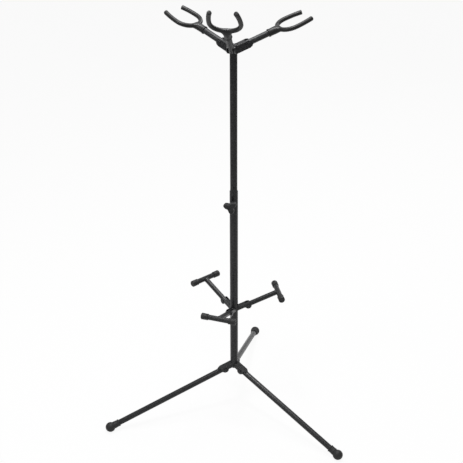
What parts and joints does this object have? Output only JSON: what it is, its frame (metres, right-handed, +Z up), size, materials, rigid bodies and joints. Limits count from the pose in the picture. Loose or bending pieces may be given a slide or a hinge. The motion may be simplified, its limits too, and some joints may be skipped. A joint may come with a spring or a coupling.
{
  "type": "guitar rack",
  "caption": "Folding floor rack for guitars: telescoping mast, hinged tripod legs, hinged T-bar cradles and hinged rubber-covered neck forks.",
  "frame": {"origin": "on the floor under the mast axis", "axes": "+Z up along the mast; -Y towards the front, the side with the raised neck arm and the clamp knob; +X to the right seen from the front"},
  "size_m": [0.6675, 0.6421, 1.2225],
  "materials": {
    "black_paint": "satin black enamel",
    "black_rivet": "painted rivet",
    "zinc_steel": "zinc plated thread",
    "foot_rubber": "matt moulded",
    "yoke_rubber": "soft matt moulded",
    "cap_rubber": "matt moulded",
    "knob_plastic": "moulded",
    "black_plastic": "moulded"
  },
  "bodies": {
    "stand": {"lower_tube": "black_paint", "lower_tube_end_plug": "black_plastic", "mast_sleeve": "black_plastic", "clamp_nut": "black_paint", "leg_bracket_left": "black_paint", "leg_rivet_left": "black_rivet", "leg_bracket_right": "black_paint", "leg_rivet_right": "black_rivet", "leg_bracket_back": "black_paint", "leg_rivet_back": "black_rivet", "cradle_bracket_front": "black_paint", "cradle_rivet_front": "black_rivet", "cradle_bracket_right": "black_paint", "cradle_rivet_right": "black_rivet", "cradle_bracket_left": "black_paint", "cradle_rivet_left": "black_rivet"},
    "knob": {"clamp_screw": "zinc_steel", "clamp_knob": "knob_plastic"},
    "upper_mast": {"upper_tube": "black_paint", "upper_tube_glide": "black_plastic", "top_hub_post": "black_paint", "neck_bracket_front": "black_paint", "neck_rivet_front": "black_rivet", "neck_bracket_right": "black_paint", "neck_rivet_right": "black_rivet", "neck_bracket_left": "black_paint", "neck_rivet_left": "black_rivet"},
    "leg_left": {"leg_tube_left": "black_paint", "leg_plug_left": "black_plastic", "leg_foot_left": "foot_rubber"},
    "leg_right": {"leg_tube_right": "black_paint", "leg_plug_right": "black_plastic", "leg_foot_right": "foot_rubber"},
    "leg_back": {"leg_tube_back": "black_paint", "leg_plug_back": "black_plastic", "leg_foot_back": "foot_rubber"},
    "cradle_front": {"cradle_arm_front": "black_paint", "cradle_plug_front": "black_plastic", "cradle_bar_front": "black_paint", "cradle_caps_front": "cap_rubber"},
    "cradle_right": {"cradle_arm_right": "black_paint", "cradle_plug_right": "black_plastic", "cradle_bar_right": "black_paint", "cradle_caps_right": "cap_rubber"},
    "cradle_left": {"cradle_arm_left": "black_paint", "cradle_plug_left": "black_plastic", "cradle_bar_left": "black_paint", "cradle_caps_left": "cap_rubber"},
    "neck_front": {"neck_arm_front": "black_paint", "neck_plug_front": "black_plastic", "neck_yoke_front": "yoke_rubber"},
    "neck_right": {"neck_arm_right": "black_paint", "neck_plug_right": "black_plastic", "neck_yoke_right": "yoke_rubber"},
    "neck_left": {"neck_arm_left": "black_paint", "neck_plug_left": "black_plastic", "neck_yoke_left": "yoke_rubber"}
  },
  "joints": [
    {"name": "clamp_knob_turn", "type": "hinge", "parent": "stand", "child": "knob", "pos_m": [0, 0, 0.667], "axis": [-0.2924, -0.9563, 0], "continuous": true},
    {"name": "mast_slide", "type": "slide", "parent": "stand", "child": "upper_mast", "axis": [0, 0, 1], "range_m": [-0.34, 0.05]},
    {"name": "leg_fold_left", "type": "hinge", "parent": "stand", "child": "leg_left", "pos_m": [-0.02737, -0.00959, 0.13583], "axis": [0.3307, -0.9437, 0], "range_deg": [0, 70.5]},
    {"name": "leg_fold_right", "type": "hinge", "parent": "stand", "child": "leg_right", "pos_m": [0.02199, -0.01891, 0.13583], "axis": [0.652, 0.7582, 0], "range_deg": [0, 70.5]},
    {"name": "leg_fold_back", "type": "hinge", "parent": "stand", "child": "leg_back", "pos_m": [0.00538, 0.0285, 0.13583], "axis": [-0.9826, 0.1855, 0], "range_deg": [0, 70.5]},
    {"name": "cradle_fold_front", "type": "hinge", "parent": "stand", "child": "cradle_front", "pos_m": [-0.01326, -0.03774, 0.3437], "axis": [-0.9435, 0.3315, 0], "range_deg": [0, 69.5]},
    {"name": "cradle_fold_right", "type": "hinge", "parent": "stand", "child": "cradle_right", "pos_m": [0.03931, 0.00739, 0.3437], "axis": [0.1846, -0.9828, 0], "range_deg": [0, 69.5]},
    {"name": "cradle_fold_left", "type": "hinge", "parent": "stand", "child": "cradle_left", "pos_m": [-0.02605, 0.03035, 0.3437], "axis": [0.7588, 0.6513, 0], "range_deg": [0, 69.5]},
    {"name": "neck_arm_fold_front", "type": "hinge", "parent": "upper_mast", "child": "neck_front", "pos_m": [-0.00626, -0.03849, 1.0995], "axis": [-0.987, 0.1606, 0], "range_deg": [-27, 44.1]},
    {"name": "neck_arm_fold_right", "type": "hinge", "parent": "upper_mast", "child": "neck_right", "pos_m": [0.03647, 0.01382, 1.0995], "axis": [0.3545, -0.9351, 0], "range_deg": [0, 71.1]},
    {"name": "neck_arm_fold_left", "type": "hinge", "parent": "upper_mast", "child": "neck_left", "pos_m": [-0.03021, 0.02467, 1.0995], "axis": [0.6326, 0.7745, 0], "range_deg": [0, 71.1]}
  ]
}
